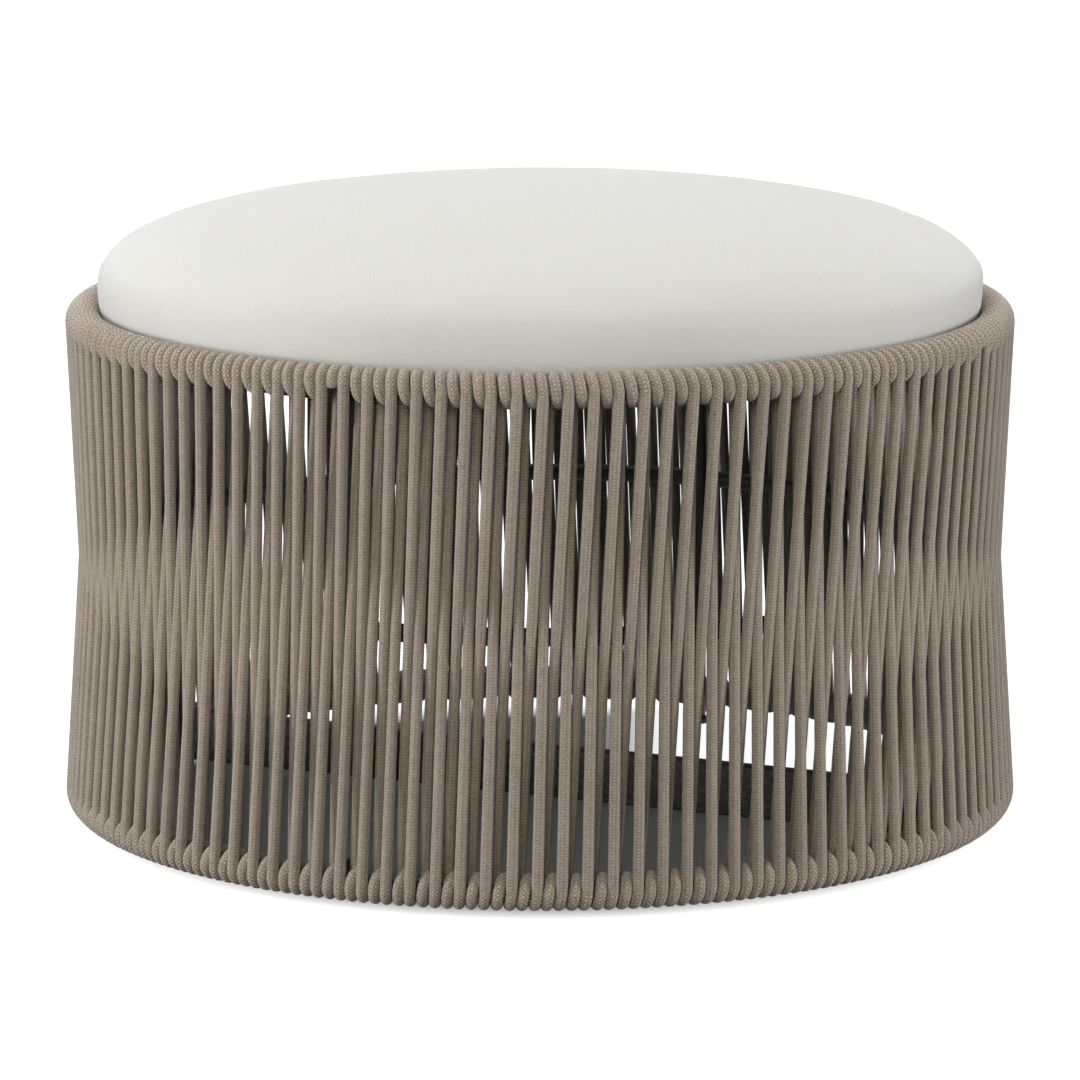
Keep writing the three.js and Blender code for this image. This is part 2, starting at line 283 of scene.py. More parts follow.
class Build:
    """Gathers the corners, faces and UVs of the parts of one mesh."""

    def __init__(self):
        self.corners = []
        self.faces = []
        self.uvs = []

    def add(self, corners, faces, uvs=None):
        start = len(self.corners)
        self.corners.extend(corners)
        self.faces.extend([tuple(start + i for i in face) for face in faces])
        if uvs is not None:
            self.uvs.extend(uvs)

    def mesh(self, name, smooth_angle=None, uv_name=None):
        mesh = new_mesh(name, self.corners, self.faces, smooth_angle)
        if uv_name:
            layer = mesh.uv_layers.new(name=uv_name)
            layer.data.foreach_set("uv", np.asarray(self.uvs, np.float32).ravel())
        return mesh

    def piece(self, name, material, body, slot, replaces=(), sharp=None):
        return add_piece(name, self.mesh(name, sharp), material, body, replaces)

    def steel_piece(self, node_name, sharp=SHARP_METAL):
        """A piece of the frame that takes the place of one CAD node."""
        self.piece(f"steel_{node_name}", material(STEEL), "frame", "frame", [node_name], sharp)


def ring_faces(rings, count, closed=False):
    """Faces between each ring of corners and the next, and from the last to the first if closed."""
    faces = []
    for ring in range(rings if closed else rings - 1):
        a, b = ring * count, (ring + 1) % rings * count
        for i in range(count):
            j = (i + 1) % count
            faces.append((a + i, a + j, b + j, b + i))
    return faces


def lengths_along(path):
    """Length from the start of a path to each of its points."""
    return np.concatenate(([0], np.cumsum(np.linalg.norm(np.diff(path, axis=0), axis=1))))


def points_between(path, marks, places):
    """Points of a path at places between its marks."""
    return np.stack([np.interp(places, marks, path[:, axis]) for axis in range(3)], axis=1)


def tube(build, path, radii, sides, closed=False, with_uvs=False):
    """A round tube along a path. An open one can have UVs: length along it and share round it."""
    path = np.asarray(path, float)
    count = len(path)
    radii = np.broadcast_to(np.asarray(radii, float), (count,))
    if closed:
        tangents = np.roll(path, -1, 0) - np.roll(path, 1, 0)
    else:
        tangents = np.gradient(path, axis=0)
    tangents /= np.linalg.norm(tangents, axis=1, keepdims=True)
    normal = np.cross(tangents[0], np.eye(3)[np.argmin(np.abs(tangents[0]))])
    turns = np.linspace(0, 2 * math.pi, sides, endpoint=False)
    rings = []
    for point, tangent, radius in zip(path, tangents, radii):
        normal = normal - tangent * (tangent @ normal)
        normal /= np.linalg.norm(normal)
        side = np.cross(tangent, normal)
        rings.append(point + radius * (np.outer(np.cos(turns), normal) + np.outer(np.sin(turns), side)))
    faces, uvs = ring_faces(count, sides, closed), None
    if with_uvs:
        uvs = []
        along = lengths_along(path)
        for here, there in zip(along, along[1:]):
            for j in range(sides):
                low, high = j / sides, (j + 1) / sides
                uvs.extend(((here, low), (here, high), (there, high), (there, low)))
        uvs.extend([(0, j / sides) for j in range(sides)] * 2)
    if not closed:
        faces.append(tuple(range(sides))[::-1])
        faces.append(tuple(range((count - 1) * sides, count * sides)))
    build.add(np.concatenate(rings), faces, uvs)


def round_ends(path, radius, share=0.55):
    """A path and its radii, with both ends of the tube rounded over, by a share of its radius."""
    path = np.asarray(path, float)
    steps = np.array((0.0, 0.35, 0.7, 1.0))
    fullness = 0.93  # less than one leaves a small flat end
    shrink = np.sqrt(1 - (steps * fullness) ** 2)
    head = path[0] - path[1]
    tail = path[-1] - path[-2]
    head *= radius * share / np.linalg.norm(head)
    tail *= radius * share / np.linalg.norm(tail)
    before = [path[0] + head * step for step in steps[:0:-1]]
    after = [path[-1] + tail * step for step in steps[1:]]
    radii = np.concatenate((shrink[:0:-1], np.ones(len(path)), shrink[1:])) * radius
    return before + list(path) + after, radii


def circle(radius, height, count):
    return [drum_point(2 * math.pi * i / count, radius, height) for i in range(count)]


def rounded_bar(build, size, middle, turn, edge, segments=3):
    """A bar with rounded edges, turned about +Z."""
    shape = bmesh.new()
    bmesh.ops.create_cube(shape, size=1)
    bmesh.ops.scale(shape, vec=size, verts=shape.verts)
    bmesh.ops.bevel(
        shape, geom=list(shape.edges), offset=edge, segments=segments, profile=0.5, affect="EDGES"
    )
    place = Matrix.Translation(middle) @ Matrix.Rotation(turn, 4, "Z")
    shape.transform(place)
    shape.verts.index_update()
    build.add([tuple(v.co) for v in shape.verts], [[v.index for v in f.verts] for f in shape.faces])
    shape.free()


def weld(build, path, radius, seed):
    """A weld bead along a path, with the ripples of its pools."""
    path = np.asarray(path, float)
    step, ripple = 0.9 * MM, 2.4 * MM
    ripple_share, uneven_share, end_share = 0.13, 0.04, 0.35
    length = np.linalg.norm(np.diff(path, axis=0), axis=1).sum()
    count = max(6, int(length / step))
    along = np.linspace(0, 1, count)
    points = points_between(path, np.linspace(0, 1, len(path)), along)
    uneven = np.random.default_rng(seed).normal(0, uneven_share, count)
    swell = 1 + ripple_share * np.sin(along * length / ripple * 2 * math.pi) + uneven
    taper = np.clip(np.minimum(along, 1 - along) * count / 2, end_share, 1)
    tube(build, points, radius * swell * taper, sides=8)


# Shader nodes


def node(tree, kind, inputs=None, **values):
    """Adds a node, with its settings, and its inputs as numbers, colours or sockets to link."""
    made = tree.nodes.new(kind)
    for name, value in values.items():
        setattr(made, name, value)
    for name, value in (inputs or {}).items():
        if isinstance(value, bpy.types.NodeSocket):
            tree.links.new(value, made.inputs[name])
        else:
            made.inputs[name].default_value = value
    return made


def sums(tree, operation, *terms):
    """The result of a Math node."""
    return node(tree, "ShaderNodeMath", dict(enumerate(terms)), operation=operation).outputs[0]


def blend_colours(tree, share, first, second, kind="MIX"):
    mix = node(tree, "ShaderNodeMix", data_type="RGBA", blend_type=kind)
    for index, value in ((0, share), (6, first), (7, second)):
        if isinstance(value, bpy.types.NodeSocket):
            tree.links.new(value, mix.inputs[index])
        elif index == 0:
            mix.inputs[index].default_value = value
        else:
            mix.inputs[index].default_value = (*value[:3], 1)
    return mix.outputs[2]


def noise_value(tree, place, scale, detail):
    inputs = {"Vector": place, "Scale": scale, "Detail": detail}
    return node(tree, "ShaderNodeTexNoise", inputs).outputs["Fac"]


def stretch(tree, value, span, to=(0.0, 1.0)):
    """A value moved from one span of numbers to another, and kept in it."""
    inputs = {0: value, 1: span[0], 2: span[1], 3: to[0], 4: to[1]}
    return node(tree, "ShaderNodeMapRange", inputs, clamp=True).outputs[0]


def new_group(name, inputs, outputs):
    """An empty node group with named sockets, and its input and output nodes."""
    group = bpy.data.node_groups.new(name, "ShaderNodeTree")
    for label, kind, value in inputs:
        socket = group.interface.new_socket(name=label, in_out="INPUT", socket_type=kind)
        if value is not None:
            socket.default_value = value
    for label, kind in outputs:
        group.interface.new_socket(name=label, in_out="OUTPUT", socket_type=kind)
    return group, group.nodes.new("NodeGroupInput"), group.nodes.new("NodeGroupOutput")


def close_group(group, outlet, results):
    for name, socket in results.items():
        group.links.new(socket, outlet.inputs[name])


def use_group(tree, name, **inputs):
    made = node(tree, "ShaderNodeGroup", node_tree=bpy.data.node_groups[name])
    for key, value in inputs.items():
        label = key.replace("_", " ").title()
        if isinstance(value, bpy.types.NodeSocket):
            tree.links.new(value, made.inputs[label])
        else:
            made.inputs[label].default_value = value
    return made.outputs


def crossing(tree, first, second):
    """Two sets of threads that pass over and under each other, each one unit wide.

    Returns the height of the upper thread, the height of its own crown, a number for it, and
    which of the two ways it runs.
    """
    crowns = [
        sums(tree, "SINE", sums(tree, "MULTIPLY", sums(tree, "FRACT", thread), math.pi))
        for thread in (first, second)
    ]
    rows = [sums(tree, "FLOOR", thread) for thread in (first, second)]
    turn = sums(tree, "FLOORED_MODULO", sums(tree, "ADD", *rows), 2)
    crown_power, dip = 0.6, 0.5
    heights = []
    for crown, other in (crowns, crowns[::-1]):
        swell = sums(tree, "MULTIPLY_ADD", other, dip, 1 - dip)
        heights.append(sums(tree, "MULTIPLY", sums(tree, "POWER", crown, crown_power), swell))

    def choose(pair):
        inputs = {0: turn, 2: pair[0], 3: pair[1]}
        return node(tree, "ShaderNodeMix", inputs, data_type="FLOAT").outputs[0]

    return choose(heights), choose(crowns), choose(rows), turn


def make_braid_group():
    """Yarns that run both ways round a rope and cross over and under."""
    group, inlet, outlet = new_group(
        "Braid",
        (
            ("Along", "NodeSocketFloat", 0.0),
            ("Around", "NodeSocketFloat", 0.0),
            ("Yarns", "NodeSocketFloat", 8.0),
            ("Lay", "NodeSocketFloat", 3 * MM),
        ),
        (("Height", "NodeSocketFloat"), ("Groove", "NodeSocketFloat"), ("Tone", "NodeSocketFloat")),
    )
    rise = sums(group, "DIVIDE", inlet.outputs["Along"], inlet.outputs["Lay"])
    across = sums(group, "MULTIPLY", inlet.outputs["Around"], inlet.outputs["Yarns"])
    left, right = sums(group, "ADD", across, rise), sums(group, "SUBTRACT", across, rise)
    height, crown, row, turn = crossing(group, left, right)
    fibre_waves, fibre_relief = 22.0, 0.05
    fibres = sums(group, "SINE", sums(group, "MULTIPLY", crown, fibre_waves))
    height = sums(group, "MULTIPLY_ADD", fibres, fibre_relief, height)
    row_step = 37.0  # keeps the numbers of two rows' cells apart
    steps = [sums(group, "FLOOR", way) for way in (left, right)]
    cell = sums(group, "MULTIPLY_ADD", steps[0], row_step, steps[1])
    tones = [
        node(group, "ShaderNodeTexWhiteNoise", {"W": number}, noise_dimensions="1D").outputs["Value"]
        for number in (row, cell)
    ]
    speckle_share, turn_share = 0.29, 0.42
    speckle = sums(group, "MULTIPLY", sums(group, "ADD", *tones), speckle_share)
    tone = sums(group, "MULTIPLY_ADD", turn, turn_share, speckle)
    groove = stretch(group, height, (0.15, 0.7), to=(1.0, 0.0))
    close_group(group, outlet, {"Height": height, "Groove": groove, "Tone": tone})


def make_weave_group():
    """A plain weave with threads of uneven thickness."""
    group, inlet, outlet = new_group(
        "Woven Cloth",
        (("Place", "NodeSocketVector", None), ("Thread", "NodeSocketFloat", MM)),
        (("Height", "NodeSocketFloat"), ("Groove", "NodeSocketFloat"), ("Slub", "NodeSocketFloat")),
    )
    scaled = node(
        group,
        "ShaderNodeVectorMath",
        {0: inlet.outputs["Place"], 3: sums(group, "DIVIDE", 1.0, inlet.outputs["Thread"])},
        operation="SCALE",
    ).outputs[0]
    parts = node(group, "ShaderNodeSeparateXYZ", {0: scaled})
    squeezed = 0.03  # draws the noise out along the threads
    slubs = []
    for squeeze in ((squeezed, 1.0, 1.0), (1.0, squeezed, 1.0)):
        inputs = {0: scaled, 1: squeeze}
        drawn = node(group, "ShaderNodeVectorMath", inputs, operation="MULTIPLY").outputs[0]
        slubs.append(noise_value(group, drawn, scale=0.55, detail=2.0))
    height = crossing(group, parts.outputs[0], parts.outputs[1])[0]
    slub = sums(group, "MULTIPLY", sums(group, "ADD", *slubs), 1 / len(slubs))
    slub_share, thinnest = 1.2, 0.4
    thickness = sums(group, "MULTIPLY_ADD", slub, slub_share, thinnest)
    height = sums(group, "MULTIPLY", height, thickness)
    groove = stretch(group, height, (0.1, 0.6), to=(1.0, 0.0))
    close_group(group, outlet, {"Height": height, "Groove": groove, "Slub": slub})


def make_grain_group():
    """The fine pebbled skin of coated or moulded surfaces, and a cloudier change of tone."""
    group, inlet, outlet = new_group(
        "Pebble Grain",
        (("Place", "NodeSocketVector", None), ("Size", "NodeSocketFloat", MM)),
        (("Height", "NodeSocketFloat"), ("Cloud", "NodeSocketFloat")),
    )
    place = inlet.outputs["Place"]
    scale = sums(group, "DIVIDE", 1.0, inlet.outputs["Size"])
    fine = noise_value(group, place, scale, detail=3.0)
    cloud = noise_value(group, place, scale=18.0, detail=4.0)
    close_group(group, outlet, {"Height": fine, "Cloud": cloud})


def make_wear_group():
    """Where an edge has rubbed, broken up by noise."""
    group, inlet, outlet = new_group(
        "Edge Wear", (("Place", "NodeSocketVector", None),), (("Worn", "NodeSocketFloat"),)
    )
    pointiness = group.nodes.new("ShaderNodeNewGeometry").outputs["Pointiness"]
    sharp = stretch(group, pointiness, (0.52, 0.6))
    spots = noise_value(group, inlet.outputs["Place"], scale=260.0, detail=5.0)
    patches = stretch(group, spots, (0.45, 0.62))
    close_group(group, outlet, {"Worn": sums(group, "MULTIPLY", sharp, patches)})


def new_material(name, **numbers):
    """A material with its node tree and shader. Numbers that are even all over go on its sockets."""
    material = bpy.data.materials.new(name)
    material.use_nodes = True
    shader = material.node_tree.nodes["Principled BSDF"]
    for label, value in numbers.items():
        shader.inputs[label.replace("_", " ").title()].default_value = value
    return material, material.node_tree, shader


def finish(tree, shader, colour, roughness, height, distance):
    """Links a shader to its colour, its roughness and a bump of some depth."""
    tree.links.new(colour, shader.inputs["Base Color"])
    tree.links.new(roughness, shader.inputs["Roughness"])
    inputs = {"Height": height, "Distance": distance, "Strength": 1.0}
    tree.links.new(node(tree, "ShaderNodeBump", inputs).outputs[0], shader.inputs["Normal"])


def shade(colour, share):
    return tuple(channel * share for channel in colour)


def mottle(tree, cloud, colour, dark, light):
    """A colour that runs from darker to lighter with a cloudy value."""
    share = stretch(tree, cloud, NOISE_SPAN)
    return blend_colours(tree, share, shade(colour, dark), shade(colour, light))


def painted_shade_or_wear(tree, mask, under, colour, strength, tone):
    """A colour that turns to a shade of another where a mask says, up to a strength: painted shade in
    the grooves of rope and cloth, or lighter worn edges on steel and plastic.
    """
    return blend_colours(tree, sums(tree, "MULTIPLY", mask, strength), under, shade(colour, tone))


def object_place(tree):
    return tree.nodes.new("ShaderNodeTexCoord").outputs["Object"]


def uv_place(tree, name):
    return node(tree, "ShaderNodeUVMap", uv_map=name).outputs[0]


def make_rope_material(settings):
    material, tree, shader = new_material("Braided Rope", Sheen_Weight=0.5, Sheen_Roughness=0.4)
    parts = node(tree, "ShaderNodeSeparateXYZ", {0: uv_place(tree, ROPE_UVS)})
    braid = use_group(
        tree,
        "Braid",
        along=parts.outputs[0],
        around=parts.outputs[1],
        yarns=float(settings.yarns),
        lay=settings.lay,
    )
    colour, groove = settings.colour, braid["Groove"]
    cloud = noise_value(tree, object_place(tree), scale=14.0, detail=3.0)
    base = mottle(tree, cloud, colour, dark=0.92, light=1.06)
    tone = stretch(tree, braid["Tone"], WHOLE, to=(0.72, 1.4))
    yarn = blend_colours(tree, 1.0, base, tone, "MULTIPLY")
    # Painted shade: the grooves between the yarns darken towards 0.36 of the rope's colour.
    final = painted_shade_or_wear(tree, groove, yarn, colour, strength=0.8, tone=0.36)
    roughness = stretch(tree, groove, WHOLE, to=(0.8, 0.97))
    finish(tree, shader, final, roughness, braid["Height"], distance=0.7 * MM)
    return material


def make_steel_material(settings):
    material, tree, shader = new_material(STEEL)
    place = object_place(tree)
    grain = use_group(tree, "Pebble Grain", place=place, size=0.9 * MM)
    worn = use_group(tree, "Edge Wear", place=place)["Worn"]
    colour = settings.colour
    base = mottle(tree, grain["Cloud"], colour, dark=0.85, light=1.2)
    flecks = stretch(tree, grain["Height"], (0.58, 0.72), to=(0, 0.5))
    fleck_tone = 1.8
    flecked = blend_colours(tree, flecks, base, shade(colour, fleck_tone))
    final = painted_shade_or_wear(tree, worn, flecked, colour, strength=0.6, tone=3.4)
    roughness = stretch(tree, grain["Cloud"], NOISE_SPAN, to=(0.4, 0.52))
    finish(tree, shader, final, roughness, grain["Height"], distance=0.12 * MM)
    return material


def make_glide_material(settings):
    material, tree, shader = new_material("Moulded Plastic")
    place = object_place(tree)
    grain = use_group(tree, "Pebble Grain", place=place, size=0.5 * MM)
    colour = settings.glide_colour
    worn = use_group(tree, "Edge Wear", place=place)["Worn"]
    dark, light = 0.8, 1.3
    base = blend_colours(tree, grain["Cloud"], shade(colour, dark), shade(colour, light))
    final = painted_shade_or_wear(tree, worn, base, colour, strength=0.5, tone=5.0)
    roughness = stretch(tree, grain["Height"], NOISE_SPAN, to=(0.5, 0.65))
    finish(tree, shader, final, roughness, grain["Height"], distance=0.06 * MM)
    return material


def make_cloth_material(name, colour, thread):
    material, tree, shader = new_material(name, Sheen_Weight=0.08, Sheen_Roughness=0.5)
    cloth = use_group(tree, "Woven Cloth", place=uv_place(tree, CLOTH_UVS), thread=thread)
    cloud = noise_value(tree, object_place(tree), scale=9.0, detail=3.0)
    base = mottle(tree, cloud, colour, dark=0.985, light=1.01)
    thin_tone = 0.98
    thick = stretch(tree, cloth["Slub"], (0.38, 0.62))
    drawn = blend_colours(tree, thick, shade(colour, thin_tone), base)
    # Painted shade: the gaps between the threads darken towards 0.72 of the cloth's colour.
    final = painted_shade_or_wear(tree, cloth["Groove"], drawn, colour, strength=0.3, tone=0.72)
    roughness = stretch(tree, cloth["Groove"], WHOLE, to=(0.86, 0.97))
    finish(tree, shader, final, roughness, cloth["Height"], distance=0.22 * MM)
    return material


def make_moulding_material(name, colour):
    _, tree, shader = new_material(name)
    grain = use_group(tree, "Pebble Grain", place=object_place(tree), size=0.4 * MM)
    dark, light = 0.88, 1.04
    base = blend_colours(tree, grain["Cloud"], shade(colour, dark), shade(colour, light))
    roughness = stretch(tree, grain["Height"], NOISE_SPAN, to=(0.3, 0.45))
    finish(tree, shader, base, roughness, grain["Height"], distance=0.03 * MM)


def material(name):
    return bpy.data.materials[name]


# The rope


def rope_point(settings, ring, turn, period):
    """Middle of the rope, by its turns round a ring's rod and its periods round the drum."""
    radius, height, rod = ring
    reach = rod + settings.diameter / 2
    angle = settings.phase + period * 2 * math.pi / PERIODS
    out, up = reach * math.cos(2 * math.pi * turn), reach * math.sin(2 * math.pi * turn)
    return drum_point(angle, radius + out, height + up)


def turns_on(settings, ring, turns, periods):
    """Points of the rope as it winds round a ring's rod."""
    points_per_turn = 22
    count = max(3, round(abs(turns[1] - turns[0]) * points_per_turn) + 1)
    return [
        rope_point(settings, ring, turn, period)
        for turn, period in zip(np.linspace(*turns, count), np.linspace(*periods, count))
    ]


def strand(start, end, pieces=10):
    """Points between the ends of a taut strand."""
    return [start + (end - start) * i / pieces for i in range(1, pieces)]


def rope_lengths(settings, first, count):
    """The two lengths of rope of one wall: one strand beside a post's lugs, and all the others.

    A strand falls at each whole period and rises a quarter period beside it. Turns count from the
    outside of a ring's rod, and half a turn is its inside.
    """
    top, bottom = ring_sizes("top_ring"), ring_sizes("bottom_ring")
    rng = np.random.default_rng(first + PERIODS)
    play = settings.play / (2 * math.pi * top[0] / PERIODS)
    shifts = rng.uniform(-play, play, (count + 1, 4))

    def falling(path, k, shift):
        start = rope_point(settings, top, 0, k + shift[0])
        end = rope_point(settings, bottom, 0.5, k - 1 + shift[1])
        path.extend(strand(start, end))

    def rising(path, k, shift):
        start = rope_point(settings, bottom, 0, k - 0.25 + shift[2])
        end = rope_point(settings, top, 0.5, k + 0.25 + shift[3])
        path.extend(strand(start, end))

    shift = shifts[0]
    short = turns_on(settings, top, (-0.5, -1), (first - 0.25, first + shift[0]))
    falling(short, first, shift)
    short += turns_on(settings, bottom, (0.5, 1.25), (first - 1 + shift[1], first - 0.625))
    long = turns_on(settings, bottom, (1.75, 2), (first - 0.375, first - 0.25 + shift[2]))
    rising(long, first, shift)
    for i in range(1, count):
        k, before, shift = first + i, shifts[i - 1], shifts[i]
        long += turns_on(settings, top, (0.5, -1), (k - 0.75 + before[3], k + shift[0]))
        falling(long, k, shift)
        long += turns_on(settings, bottom, (0.5, 2), (k - 1 + shift[1], k - 0.25 + shift[2]))
        rising(long, k, shift)
    last = first + count - 1
    long += turns_on(settings, top, (0.5, 0), (last + 0.25 + shifts[count - 1][3], last + 0.5))
    return short, long


class FOOTSTOOL_OT_rope(bpy.types.Operator):
    """Winds the rope over the upper and lower rings, in one wall between each two posts"""

    bl_idname = "footstool.rope"
    bl_label = "Wind Rope"

    def execute(self, context):
        settings = context.scene.footstool_rope
        make_braid_group()
        finish_material = make_rope_material(settings)
        low, high = ring_sizes("bottom_ring")[1], ring_sizes("top_ring")[1]
        count = PERIODS // POSTS
        first_post = drum_angle(upright_sizes("post_1")[0])
        post_period = (first_post - settings.phase) / (2 * math.pi) * PERIODS
        least_gap = 0.125  # periods from a post to the first strand of its wall
        start = math.ceil(post_period + least_gap)
        for wall in range(POSTS):
            build = Build()
            for path in rope_lengths(settings, start + wall * count, count):
                points, radii = round_ends(path, settings.diameter / 2)
                share = np.clip((np.array(points)[:, 2] - low) / (high - low), 0, 1)
                radii = radii * (1 - settings.pinch * np.sin(math.pi * share))
                tube(build, points, radii, sides=12, with_uvs=True)
            name = f"rope_wall_{wall + 1}"
            mesh = build.mesh(f"wound_rope_{wall + 1}", uv_name=ROPE_UVS)
            add_piece(f"wound_rope_{wall + 1}", mesh, finish_material, "frame", [name])
        return {"FINISHED"}


# The frame


class FOOTSTOOL_OT_rings(bpy.types.Operator):
    """Makes the round steel rings: the two wound ones, the waist hoop and the seat ring"""

    bl_idname = "footstool.rings"
    bl_label = "Bend Rings"

    def execute(self, context):
        make_grain_group()
        make_wear_group()
        make_steel_material(context.scene.footstool_frame)
        for name in ("top_ring", "bottom_ring", "waist_hoop", "seat_ring"):
            radius, height, rod = ring_sizes(name)
            build = Build()
            tube(build, circle(radius, height, count=192), rod, sides=20, closed=True)
            build.steel_piece(name, sharp=None)
        return {"FINISHED"}


def post_frame(index):
    """Place, heights and radius of a post, with its directions outwards and sideways."""
    place, low, high, radius = upright_sizes(f"post_{index + 1}")
    outwards = np.array((*place / np.hypot(*place), 0))
    return np.array((*place, 0)), low, high, radius, outwards, np.cross((0, 0, 1), outwards)


def bar_box(name, turn):
    """Size and middle of a CAD bar that is turned about +Z."""
    points = node_points(name)
    spin = np.array(Matrix.Rotation(-turn, 3, "Z"))
    flat = points @ spin.T
    low, high = flat.min(0), flat.max(0)
    return high - low, spin.T @ ((low + high) / 2)


class FOOTSTOOL_OT_posts(bpy.types.Operator):
    """Makes the four posts with their lugs, and the welds that hold them to the rings"""

    bl_idname = "footstool.posts"
    bl_label = "Weld Posts"

    def execute(self, context):
        settings = context.scene.footstool_frame
        _, hoop_height, hoop_rod = ring_sizes("waist_hoop")
        beads = Build()
        for index in range(POSTS):
            place, low, high, radius, outwards, sideways = post_frame(index)
            build = Build()
            path = [place + (0, 0, z) for z in np.linspace(low + MM, high - MM, 8)]
            points, radii = round_ends(path, radius, share=0.2)
            tube(build, points, radii, sides=28)
            build.steel_piece(f"post_{index + 1}")
            self.add_lugs(index, settings, beads)
            turns = np.linspace(0, 2 * math.pi, 25)
            ring = [place + (radius * math.cos(t), radius * math.sin(t), high) for t in turns]
            weld(beads, ring, settings.bead, seed=index)
            off_post, beside = 0.4 * MM, 2.2 * MM
            for side in (-1, 1):
                at = place + outwards * (radius + off_post) + sideways * side * beside
                heights = np.linspace(-hoop_rod * 0.5, hoop_rod * 0.5, 9)
                path = [at + (0, 0, hoop_height + z) for z in heights]
                weld(beads, path, settings.bead, seed=10 + index)
        beads.piece("frame_weld_beads", material(STEEL), "frame", "frame")
        return {"FINISHED"}

    def add_lugs(self, index, settings, beads):
        """One upper and one lower lug, each with its beads along the post and at the ring."""
        for kind in ("top_lug", "bottom_lug"):
            name = f"{kind}_{index + 1}"
            turn = drum_angle(node_points(name).mean(0)) - math.pi / 2
            size, middle = bar_box(name, turn)
            build = Build()
            rounded_bar(build, size, middle, turn, settings.edge)
            build.steel_piece(name)
            reach = np.array((math.cos(turn), math.sin(turn), 0))
            side = np.array((-math.sin(turn), math.cos(turn), 0))
            for sign in (-1, 1):
                flank = side * sign * size[1] / 2
                inner = middle - reach * size[0] / 2 + flank
                heights = np.linspace(-size[2] / 2 + MM, size[2] / 2 - MM, 12)
                weld(beads, [inner + (0, 0, z) for z in heights], settings.bead, seed=30 + index)
                if kind == "top_lug":
                    inset, length, seed = 7 * MM, 5 * MM, 40
                    start = middle + reach * (size[0] / 2 - inset) + flank + (0, 0, size[2] / 2)
                    path = [start + reach * t for t in np.linspace(0, length, 6)]
                else:
                    half_length, seed = 3 * MM, 50
                    outer = middle + reach * size[0] / 2 + flank
                    path = [outer + (0, 0, z) for z in np.linspace(-half_length, half_length, 6)]
                weld(beads, path, settings.bead * SMALL_BEAD, seed)


class FOOTSTOOL_OT_glides(bpy.types.Operator):
    """Makes the plastic glides under the posts"""

    bl_idname = "footstool.glides"
    bl_label = "Fit Glides"

    def execute(self, context):
        plastic = make_glide_material(context.scene.footstool_frame)
        for index in range(POSTS):
            name = f"glide_{index + 1}"
            place, low, high, radius = upright_sizes(name)
            gap, edge, stem = 0.3 * MM, 1.2 * MM, 3.1 * MM
            head = upright_sizes(f"post_{index + 1}")[1] - gap
            outline = [(0, low), (radius - 2.2 * edge, low)]
            # The rounded foot, the side with its lip, and the stem that sits in the post.
            outline += [
                (radius - edge + edge * math.sin(t), low + edge - edge * math.cos(t))
                for t in np.linspace(0.5, math.pi / 2, 5)
            ]
            outline += [(radius, head - 0.8 * MM), (radius - 0.3 * MM, head - 0.25 * MM)]
            outline += [(radius - MM, head), (stem, head), (stem, high - MM)]
            outline += [(stem - 0.7 * MM, high), (0, high)]
            build = Build()
            lathe(build, outline, facets=32, place=place)
            build.piece(f"plastic_{name}", plastic, "frame", "glide", [name], SHARP_TURNED)
        return {"FINISHED"}


def lathe(build, outline, facets, place=(0, 0)):
    """Turns an outline of radius and height points about an upright axis."""
    corners, rows = [], []
    angles = np.linspace(0, 2 * math.pi, facets, endpoint=False)
    x, y = place
    for radius, height in outline:
        if radius == 0:
            rows.append([len(corners)] * facets)
            corners.append((x, y, height))
            continue
        rows.append(list(range(len(corners), len(corners) + facets)))
        corners.extend((x + radius * math.cos(a), y + radius * math.sin(a), height) for a in angles)
    faces = []
    for row, after in zip(rows, rows[1:]):
        for i in range(facets):
            j = (i + 1) % facets
            faces.append(list(dict.fromkeys((row[i], row[j], after[j], after[i]))))
    build.add(corners, faces)


def rounded_outline(width, height, corner, steps=5):
    """Points of a rectangle with rounded corners."""
    points = []
    for quarter, (x, y) in enumerate(((1, 1), (-1, 1), (-1, -1), (1, -1))):
        middle = np.array((x * (width / 2 - corner), y * (height / 2 - corner)))
        for t in np.linspace(0, math.pi / 2, steps):
            angle = quarter * math.pi / 2 + t
            points.append(middle + corner * np.array((math.cos(angle), math.sin(angle))))
    return points


class FOOTSTOOL_OT_crossbar(bpy.types.Operator):
    """Makes the flat tube across the bottom and its welds to the posts"""

    bl_idname = "footstool.crossbar"
    bl_label = "Weld Crossbar"

    def execute(self, context):
        turn = drum_angle(upright_sizes("post_2")[0]) - math.pi / 2
        size, middle = bar_box("crossbar", turn)
        along = np.array((math.cos(turn), math.sin(turn), 0))
        side = np.array((-math.sin(turn), math.cos(turn), 0))
        wall = 1.5 * MM
        outer = rounded_outline(size[1], size[2], corner=2.6 * MM)
        inner = rounded_outline(size[1] - 2 * wall, size[2] - 2 * wall, corner=1.2 * MM)

        def loop_at(sign, loop):
            end = middle + along * sign * size[0] / 2
            return [end + side * p[0] + np.array((0, 0, p[1])) for p in loop]

        build = Build()
        loops = [loop_at(-1, outer), loop_at(1, outer), loop_at(1, inner), loop_at(-1, inner)]
        build.add(sum(loops, []), ring_faces(len(loops), len(outer), closed=True))
        build.steel_piece("crossbar")
        beads = Build()
        for sign in (-1, 1):
            path = loop_at(sign, outer + outer[:1])
            weld(beads, path, context.scene.footstool_frame.bead, seed=60 + sign)
        beads.piece("crossbar_weld_beads", material(STEEL), "frame", "frame")
        return {"FINISHED"}


